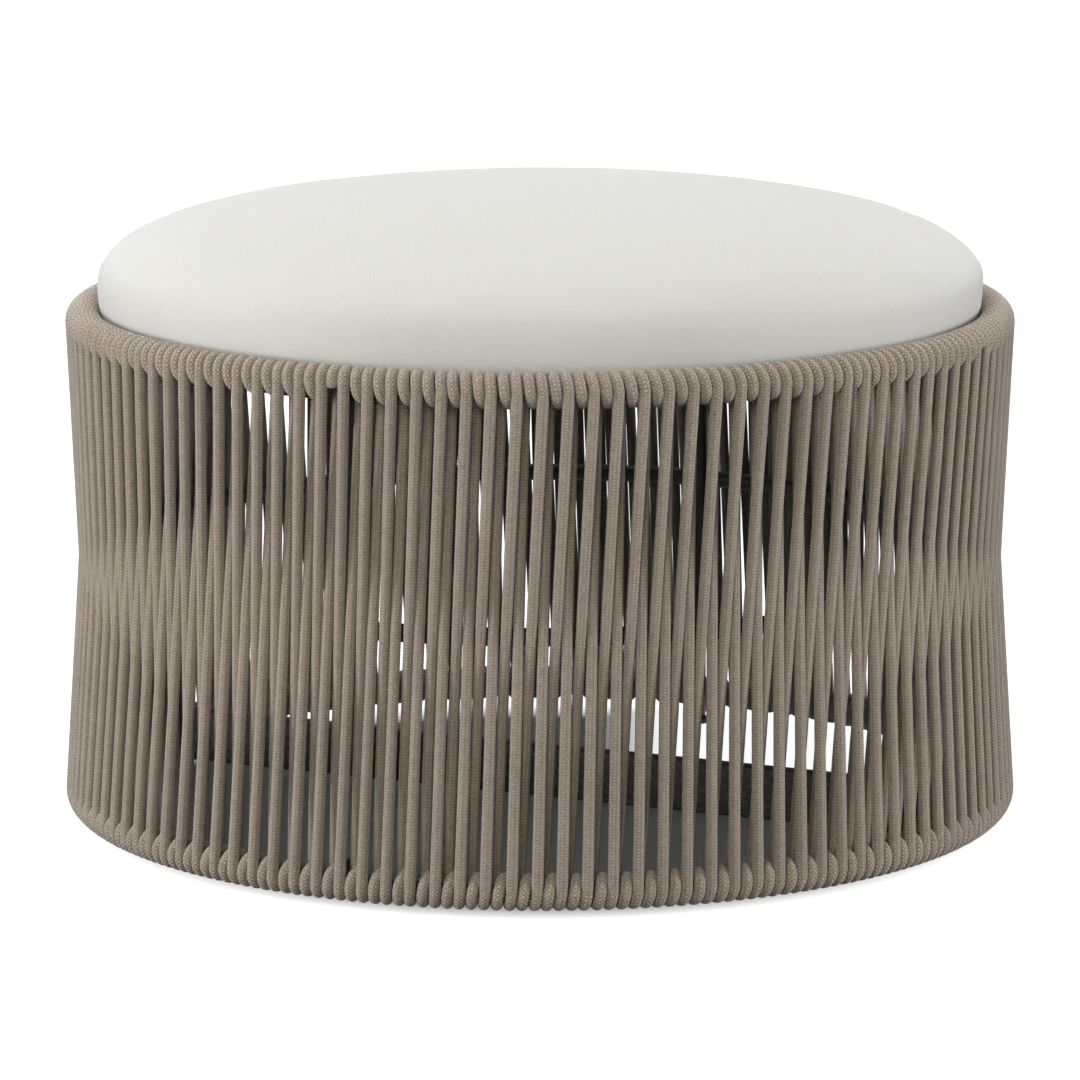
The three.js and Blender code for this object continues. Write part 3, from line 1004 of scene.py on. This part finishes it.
class FOOTSTOOL_OT_seat(bpy.types.Operator):
    """Makes the slats that carry the cushion, welded to the seat ring"""

    bl_idname = "footstool.seat"
    bl_label = "Weld Seat Slats"

    def execute(self, context):
        settings = context.scene.footstool_frame
        ring_radius = ring_sizes("seat_ring")[0]
        bead_ends = (-6 * MM, 1 * MM)  # from the ring's circle, inwards and outwards
        beads = Build()
        for name in sorted(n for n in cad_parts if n.startswith("seat_slat_")):
            low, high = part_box(name)
            size, middle = high - low, (high + low) / 2
            build = Build()
            rounded_bar(build, size, middle, turn=0, edge=1.1 * MM)
            build.steel_piece(name)
            for edge in (low.y, high.y):
                for sign in (-1, 1):
                    x = math.sqrt(ring_radius**2 - edge**2)
                    path = [(sign * (x + t), edge, low.z) for t in np.linspace(*bead_ends, 6)]
                    seed = int(abs(edge) * 1000) + sign  # the edge in millimetres
                    weld(beads, path, settings.bead * SMALL_BEAD, seed)
        beads.piece("slat_weld_beads", material(STEEL), "frame", "frame")
        return {"FINISHED"}


# The cushion


REST_GAP = 0.6 * MM  # from the bottom of the CAD cover's box to the cloth's lowest points


def crown_points(bulge, steps=40):
    """The cover's outline from the middle of the top to its underside, and where it is widest.

    The crown is a quarter of a superellipse with one power along and another one up.
    """
    low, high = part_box("cushion_cover")
    radius = reaches(node_points("cushion_cover")).max() + bulge
    side_height, power_along, power_up = 25 * MM, 1.67, 2.96
    widest = low.z + side_height
    crown = high.z - widest
    points = []
    for i in range(steps + 1):
        turn = math.pi / 2 * (1 - i / steps)
        reach = radius * max(0, math.cos(turn)) ** (2 / power_along)
        points.append((reach, widest + crown * math.sin(turn) ** (2 / power_up)))
    points[0] = (0, points[0][1])
    draw_in, corner, border = 4 * MM, 2 * MM, 30 * MM
    underside = low.z + 1.2 * MM
    for share in (0.25, 0.5, 0.75, 0.92):
        points.append((radius - draw_in * share**2, widest - share * (widest - low.z)))
    points.append((radius - draw_in - corner, low.z + REST_GAP))
    points += [(radius - border, underside), (0, underside)]
    return points, widest


def remesh(piece, voxel):
    """Makes a piece's mesh anew in cells of one size."""
    modifier = piece.modifiers.new("Remesh", "REMESH")
    modifier.mode = "VOXEL"
    modifier.voxel_size = voxel
    modifier.use_smooth_shade = True
    apply_modifiers(piece)


def apply_modifiers(piece):
    """Makes the shape that the modifiers give the piece's own."""
    depsgraph = bpy.context.evaluated_depsgraph_get()
    shown = bpy.data.meshes.new_from_object(piece.evaluated_get(depsgraph))
    piece.modifiers.clear()
    old = piece.data
    piece.data = shown
    bpy.data.meshes.remove(old)


def inflate(piece, settings):
    """Fills the cover like a balloon for a moment, and limits how far its points move."""
    before = mesh_points(piece.data)
    first_frame, last_frame = 1, 20
    modifier = piece.modifiers.new("Cloth", "CLOTH")
    cloth = modifier.settings
    cloth.use_pressure = True
    cloth.uniform_pressure_force = settings.pressure
    cloth.effector_weights.gravity = 0
    cloth.tension_stiffness = cloth.compression_stiffness = 18
    cloth.shear_stiffness = 8
    cloth.bending_stiffness = 0.8
    cloth.quality = 5
    modifier.point_cache.frame_start = first_frame
    modifier.point_cache.frame_end = last_frame
    scene = bpy.context.scene
    for number in range(first_frame, last_frame + 1):
        scene.frame_set(number)
    apply_modifiers(piece)
    scene.frame_set(first_frame)
    moves = mesh_points(piece.data) - before
    length = np.linalg.norm(moves, axis=1, keepdims=True)
    moves *= np.minimum(1, settings.puff / np.maximum(length, 1e-9))
    return before + moves


def sink_shoulder(points, widest, slump):
    """Rounds the shoulder, most on the left, and leaves a firmer edge on the right."""
    reach = reaches(points)
    right = points[:, 0] / reach.max()
    reach = np.maximum(reach, 1e-9)
    lift = points[:, 2] - widest

    def band(middle, spread):
        """How near each point is to a height above the widest place, from 0 to 1."""
        return np.exp(-(((lift - middle) / spread) ** 2))

    depth, lean, firmness = 0.8, 0.3, 0.7
    sunk = slump * band(30 * MM, 14 * MM) * (depth - lean * right)
    firm = slump * band(12 * MM, 7 * MM) * np.maximum(right, 0) * firmness
    outer = np.clip(reach / reach.max() * 4 - 3, 0, 1)  # none up to three quarters of the way out
    points[:, :2] *= (1 + (firm - sunk) * outer / reach)[:, None]
    return points


def settle(points, low, rim):
    """Rests the underside on its slats and keeps the side clear of the rope in the rim.

    The rim is a ring's radius and height, with the reach of the rope round its rod.
    """
    gap, far = 0.4 * MM, 1.0  # far is more than any reach
    points[:, 2] = np.maximum(points[:, 2], low + REST_GAP)
    reach = reaches(points)
    radius, height, half = rim
    down = points[:, 2] - height
    inside = radius - np.sqrt(np.maximum(half**2 - down**2, 0)) - gap
    limit = np.where(np.abs(down) < half, inside, far)
    points[:, :2] *= np.minimum(1, limit / np.maximum(reach, 1e-9))[:, None]
    return points


def set_cloth_uvs(mesh, places):
    """UVs in metres, from a place for each corner of a mesh."""
    loops = np.empty(len(mesh.loops), int)
    mesh.loops.foreach_get("vertex_index", loops)
    layer = mesh.uv_layers.new(name=CLOTH_UVS)
    layer.data.foreach_set("uv", places[loops].astype(np.float32).ravel())


def lay_cloth(mesh, profile, widest):
    """UVs as if one flat piece of cloth were drawn over the crown and down the side."""
    outline = np.array(profile[:-2])  # without the flat underside
    turn = np.arctan2(outline[:, 1] - widest, outline[:, 0])
    lengths = lengths_along(outline)
    points = mesh_points(mesh)
    reach = reaches(points)
    own = np.arctan2(points[:, 2] - widest, reach)
    order = np.argsort(turn)
    drawn = np.interp(own, turn[order], lengths[order])
    scale = np.where(reach > 1e-6, drawn / np.maximum(reach, 1e-6), 1)
    set_cloth_uvs(mesh, points[:, :2] * scale[:, None])


class FOOTSTOOL_OT_cushion(bpy.types.Operator):
    """Makes the filled cushion, as cloth under pressure, and covers it in woven cloth"""

    bl_idname = "footstool.cushion"
    bl_label = "Fill Cushion"

    def execute(self, context):
        settings = context.scene.footstool_cushion
        make_weave_group()
        cloth = make_cloth_material("Woven Cover", settings.colour, settings.thread)
        profile, widest = crown_points(settings.bulge)
        build = Build()
        lathe(build, profile[::-1], facets=96)
        piece = build.piece("cushion_pad", cloth, "cushion", "cover")
        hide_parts("cushion_cover", "cushion_foam")
        remesh(piece, settings.voxel)
        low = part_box("cushion_cover")[0].z
        points = inflate(piece, settings)
        unevenness, broad, fine, fine_share = 0.9 * MM, 9, 27, 0.4
        for point in points:
            if point[2] > widest:
                swell = noise.noise(Vector(point) * broad)
                swell += fine_share * noise.noise(Vector(point) * fine)
                point[2] += unevenness * swell
        points = sink_shoulder(points, widest, settings.slump)
        radius, height, rod = ring_sizes("top_ring")
        points = settle(points, low, (radius, height, rod + context.scene.footstool_rope.diameter))
        piece.data.vertices.foreach_set("co", points.ravel())
        subdivide = piece.modifiers.new("Subdivision", "SUBSURF")
        subdivide.levels = subdivide.render_levels = 1
        apply_modifiers(piece)
        lay_cloth(piece.data, profile, widest)
        piece.data.polygons.foreach_set("use_smooth", [True] * len(piece.data.polygons))
        piece.data.materials.clear()
        piece.data.materials.append(cloth)
        return {"FINISHED"}


def stitches(build, path, length, gap, radius):
    """Short sewn stitches along a path, each dipping into the cloth at its ends."""
    path = np.asarray(path, float)
    marks = lengths_along(path)
    pitch = length + gap
    shares = np.array((0.08, 0.28, 0.5, 0.72, 0.92))
    depths = np.array((-1.2, 0.2, 0.6, 0.2, -1.2))
    for i in range(int(marks[-1] / pitch)):
        points = points_between(path, marks, (i + shares * length / pitch) * pitch)
        points[:, 2] -= radius * depths
        tube(build, points, radius, sides=6)


class FOOTSTOOL_OT_cushion_base(bpy.types.Operator):
    """Makes the panel under the cushion, with its sewn edge, zip and slider"""

    bl_idname = "footstool.cushion_base"
    bl_label = "Sew Cushion Base"

    def execute(self, context):
        settings = context.scene.footstool_cushion
        colour, thread = shade(settings.colour, 0.9), settings.thread * 1.2
        panel_cloth = make_cloth_material("Woven Base", colour, thread)
        zip_cloth = make_cloth_material("Zip Tape", settings.zip_colour, thread=0.5 * MM)
        make_moulding_material(MOULDING, shade(settings.zip_colour, 0.85))
        make_moulding_material(SEWING, shade(settings.colour, 0.86))
        self.add_panel(panel_cloth)
        self.add_tape(zip_cloth)
        self.add_teeth()
        self.add_slider()
        return {"FINISHED"}

    def add_panel(self, cloth):
        """The round panel, in a grid that leaves the zip's slit open, with its rows of stitches.

        A line of the grid runs out at 45 degrees from each corner of the slit.
        """
        low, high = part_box("cushion_base")
        zip_low, zip_high = (np.array(corner)[:2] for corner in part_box("cushion_zip"))
        radius = reaches(node_points("cushion_base")).max()
        middle = (zip_low + zip_high) / 2
        gap, count = 0.3 * MM, 128
        half = zip_high + gap - middle
        steps = np.arange(count)
        sides = np.array(((1, -1), (1, 1), (-1, 1), (-1, -1), (1, -1)))
        slit_corners = middle + half * sides
        along = (slit_corners * sides).sum(axis=1) / 2
        reach = np.sqrt(along**2 + (radius**2 - (slit_corners**2).sum(axis=1)) / 2) - along
        ends = slit_corners + sides * reach[:, None]
        turns = np.unwrap(np.arctan2(ends[:, 1], ends[:, 0]))
        marks = np.round((turns - turns[0]) / (2 * math.pi) * count)
        angles = np.interp(steps, marks, turns)
        outer = radius * np.column_stack((np.cos(angles), np.sin(angles)))
        inner = np.column_stack([np.interp(steps, marks, slit_corners[:, axis]) for axis in (0, 1)])
        # Share of the way from the slit to the rim: millimetres that the underside is raised.
        lifts = {0: 0.8, 0.02: 0.1, 0.15: 0, 0.35: 0, 0.6: 0, 0.85: 0, 0.985: 0.1, 1: 0.9}
        rings = [(share, low.z + lift * MM) for share, lift in lifts.items()]
        rings += [(share, high.z) for share in reversed(lifts)]
        corners = [(x, y, z) for share, z in rings for x, y in inner + (outer - inner) * share]
        build = Build()
        build.add(corners, ring_faces(len(rings), count, closed=True))
        panel = build.piece(
            "cushion_base_panel", cloth, "cushion", "cover", ["cushion_base"], SHARP_TURNED
        )
        set_cloth_uvs(panel.data, mesh_points(panel.data)[:, :2])
        sewing = Build()
        for inset in (5 * MM, 8 * MM):
            ring = circle(radius - inset, low.z, count=240)
            stitches(sewing, ring + ring[:1], length=3.2 * MM, gap=1.1 * MM, radius=0.28 * MM)
        beside = 3 * MM
        for side in (-1, 1):
            y = middle[1] + side * (half[1] + beside)
            path = [(x, y, low.z) for x in np.linspace(middle[0] - half[0], middle[0] + half[0], 60)]
            stitches(sewing, path, length=3.0 * MM, gap=1.0 * MM, radius=0.25 * MM)
        sewing.piece("base_stitching", material(SEWING), "cushion", "cover")

    def add_tape(self, cloth):
        """The two strips of tape, with the teeth's gap between them."""
        low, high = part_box("cushion_zip")
        build = Build()
        gap, thickness = 1.2 * MM, 0.9 * MM
        width = (high.y - low.y) / 2 - gap
        for side in (-1, 1):
            y = (low.y + high.y) / 2 + side * (width / 2 + gap)
            size, middle = (high.x - low.x, width, thickness), (0, y, low.z + thickness)
            rounded_bar(build, size, middle, turn=0, edge=0.25 * MM, segments=2)
        tape = build.piece("zip_tape", cloth, "cushion", "zip", ["cushion_zip"], SHARP_METAL)
        set_cloth_uvs(tape.data, mesh_points(tape.data)[:, :2])

    def add_teeth(self):
        """Two interlocked rows of teeth down the middle of the tape."""
        low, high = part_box("cushion_zip")
        y = (low.y + high.y) / 2
        build = Build()
        pitch, margin = 2.5 * MM, 4 * MM
        size, offset, height = (0.95 * MM, 3.4 * MM, 1.3 * MM), 0.9 * MM, low.z + 0.75 * MM
        count = int((high.x - low.x - 2 * margin) / pitch)
        for i in range(count * 2):
            side = 1 if i % 2 else -1
            middle = (low.x + margin + i * pitch / 2, y + side * offset, height)
            rounded_bar(build, size, middle, turn=0, edge=0.28 * MM, segments=2)
        build.piece("zip_teeth", material(MOULDING), "cushion", "zip", sharp=SHARP_METAL)

    def add_slider(self):
        """The slider's body, its bridge and the tab that hangs from it."""
        low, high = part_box("zip_slider")
        x, y, _ = (low + high) / 2
        length, width = high.x - low.x, high.y - low.y
        plate, hanging = 1.0 * MM, low.z + 0.7 * MM
        seated = high.z - plate / 2
        build = Build()

        def bar(shares, thickness, offset, height, edge):
            """A bar by its shares of the slider's length and width, some way along it."""
            size = (length * shares[0], width * shares[1], thickness)
            rounded_bar(build, size, (x + length * offset, y, height), turn=0, edge=edge)

        bar((0.72, 0.86), plate, offset=-0.12, height=seated, edge=0.4 * MM)
        bar((0.3, 0.98), plate * 0.9, offset=-0.3, height=seated, edge=0.4 * MM)
        start, span, bow = length * 0.32, length * 0.42, 1.1 * MM
        bridge = []
        for t in np.linspace(0, 1, 13):
            drop = plate * 0.7 + bow * math.sin(math.pi * t)
            bridge.append((x - start + span * t, y, high.z - drop))
        tube(build, bridge, radii=0.6 * MM, sides=12)
        ring = rounded_outline(length * 0.7, width * 0.6, corner=width * 0.28, steps=7)
        tab_middle = x + length * 0.14
        tab = [(tab_middle + p[0], y + p[1], hanging) for p in ring]
        tube(build, tab, radii=0.55 * MM, sides=10, closed=True)
        bar((0.3, 0.42), 0.8 * MM, offset=0.3, height=hanging, edge=0.3 * MM)
        plastic = material(MOULDING)
        build.piece("zip_pull", plastic, "slider", "zip", ["zip_slider"], sharp=math.radians(45))


# The stage


def add_lamp(name, size, power, place, target, colour):
    """A round lamp that faces a target."""
    lamp = bpy.data.lights.new(name, "AREA")
    lamp.shape = "DISK"
    lamp.size = size
    lamp.energy = power
    lamp.color = colour
    holder = link_object(name, lamp)
    holder.location = place
    holder.rotation_euler = (Vector(target) - Vector(place)).to_track_quat("-Z", "Y").to_euler()


def is_seen(tree):
    """One for rays that show the background: from the camera, a mirror or through glass."""
    rays = tree.nodes.new("ShaderNodeLightPath").outputs
    seen = sums(tree, "MAXIMUM", rays["Is Camera Ray"], rays["Is Glossy Ray"])
    return sums(tree, "MAXIMUM", seen, rays["Is Transmission Ray"])


class FOOTSTOOL_OT_stage(bpy.types.Operator):
    """Makes the pale floor, the soft lamps and the camera"""

    bl_idname = "footstool.stage"
    bl_label = "Set Stage"

    def execute(self, context):
        scene, settings = context.scene, context.scene.footstool_stage
        scene.view_settings.view_transform = "Standard"
        camera = bpy.data.cameras.new("Camera")
        camera.sensor_width = 36
        camera.lens = settings.lens
        camera.clip_end = 100
        holder = link_object("Camera", camera)
        holder.location = settings.camera
        holder.rotation_euler = (math.pi / 2 - settings.pitch, 0, 0)
        scene.camera = holder
        left_share = 1.2
        for name, size, power, place, target_height, colour in (
            ("Overhead", 2.2, settings.overhead, (-0.1, 1.1, 2.4), 0.3, settings.cool),
            ("Front", 1.5, settings.front, (-0.35, -2.3, 1.8), 0.2, settings.warm),
            ("Left", 1.0, settings.sides * left_share, (-2.5, -0.9, 0.6), 0.2, settings.cool),
            ("Right", 1.0, settings.sides, (2.5, -0.9, 0.6), 0.2, settings.cool),
        ):
            add_lamp(name, size, power, place, (0, 0, target_height), colour)
        self.add_world(scene, settings)
        self.add_floor(drum_angle(upright_sizes("post_2")[0]))
        return {"FINISHED"}

    def add_world(self, scene, settings):
        """A faint light all round, and white where the world itself is seen."""
        world = bpy.data.worlds.new("Studio")
        world.use_nodes = True
        scene.world = world
        tree = world.node_tree
        background = tree.nodes["Background"]
        background.inputs["Color"].default_value = (1, 1, 1, 1)
        inputs = {0: is_seen(tree), 3: settings.ambient, 4: 1.0}
        strength = node(tree, "ShaderNodeMapRange", inputs).outputs[0]
        tree.links.new(strength, background.inputs["Strength"])

    def add_floor(self, bar_angle):
        """A floor that shows white round the drum, with a painted pool of light inside the drum beyond
        the right half of its crossbar.
        """
        half = 14
        corners = [(x * half, y * half, 0) for x, y in ((-1, -1), (1, -1), (1, 1), (-1, 1))]
        mesh = new_mesh("Floor", corners, [(0, 1, 2, 3)])
        floor = link_object("Floor", mesh)
        surface, tree, shader = new_material("Pale Floor", Roughness=0.9)
        shader.inputs["Base Color"].default_value = (0.24, 0.244, 0.24, 1)
        shader.inputs["Emission Color"].default_value = (1, 1, 1, 1)
        place = object_place(tree)
        reach = node(tree, "ShaderNodeVectorMath", {0: place}, operation="LENGTH").outputs["Value"]
        inputs = {0: place, 1: (math.cos(bar_angle), math.sin(bar_angle), 0)}
        depth = node(tree, "ShaderNodeVectorMath", inputs, operation="DOT_PRODUCT").outputs["Value"]
        side = node(tree, "ShaderNodeSeparateXYZ", {0: place}).outputs[0]
        behind, right = stretch(tree, depth, (0.06, 0.15)), stretch(tree, side, (0.04, 0.09))
        # Painted light: inside the drum, behind the crossbar's right half, the floor glows white where
        # it would lie in shade.
        painted_light_patch = sums(tree, "MULTIPLY", behind, right)
        white = sums(tree, "MAXIMUM", stretch(tree, reach, (0.27, 0.31)), painted_light_patch)
        dim, bright = 0.02, 0.95
        glow = stretch(tree, white, WHOLE, to=(dim, bright))
        tree.links.new(sums(tree, "MULTIPLY", is_seen(tree), glow), shader.inputs["Emission Strength"])
        mesh.materials.append(surface)


STEPS = ("rings", "posts", "glides", "crossbar", "seat", "rope", "cushion", "cushion_base", "stage")


class FOOTSTOOL_PT_panel(bpy.types.Panel):
    """Lists the settings and the steps of the footstool"""

    bl_label = "Rope Footstool"
    bl_idname = "FOOTSTOOL_PT_panel"
    bl_space_type = "VIEW_3D"
    bl_region_type = "UI"
    bl_category = "Footstool"

    def draw(self, context):
        for name in SETTINGS:
            group = getattr(context.scene, name)
            box = self.layout.box()
            box.label(text=type(group).__doc__)
            for key in type(group).__annotations__:
                box.prop(group, key)
        for step in STEPS:
            self.layout.operator(f"footstool.{step}")


SETTINGS = {
    "footstool_rope": FootstoolRope,
    "footstool_frame": FootstoolFrame,
    "footstool_cushion": FootstoolCushion,
    "footstool_stage": FootstoolStage,
}

CLASSES = (
    *SETTINGS.values(),
    FOOTSTOOL_OT_rings,
    FOOTSTOOL_OT_posts,
    FOOTSTOOL_OT_glides,
    FOOTSTOOL_OT_crossbar,
    FOOTSTOOL_OT_seat,
    FOOTSTOOL_OT_rope,
    FOOTSTOOL_OT_cushion,
    FOOTSTOOL_OT_cushion_base,
    FOOTSTOOL_OT_stage,
    FOOTSTOOL_PT_panel,
)


def register():
    for kind in CLASSES:
        bpy.utils.register_class(kind)
    for name, kind in SETTINGS.items():
        setattr(bpy.types.Scene, name, PointerProperty(type=kind))


def unregister():
    for name in SETTINGS:
        delattr(bpy.types.Scene, name)
    for kind in reversed(CLASSES):
        bpy.utils.unregister_class(kind)


def main():
    register()
    for step in STEPS:
        getattr(bpy.ops.footstool, step)()


if __name__ == "__main__":
    main()
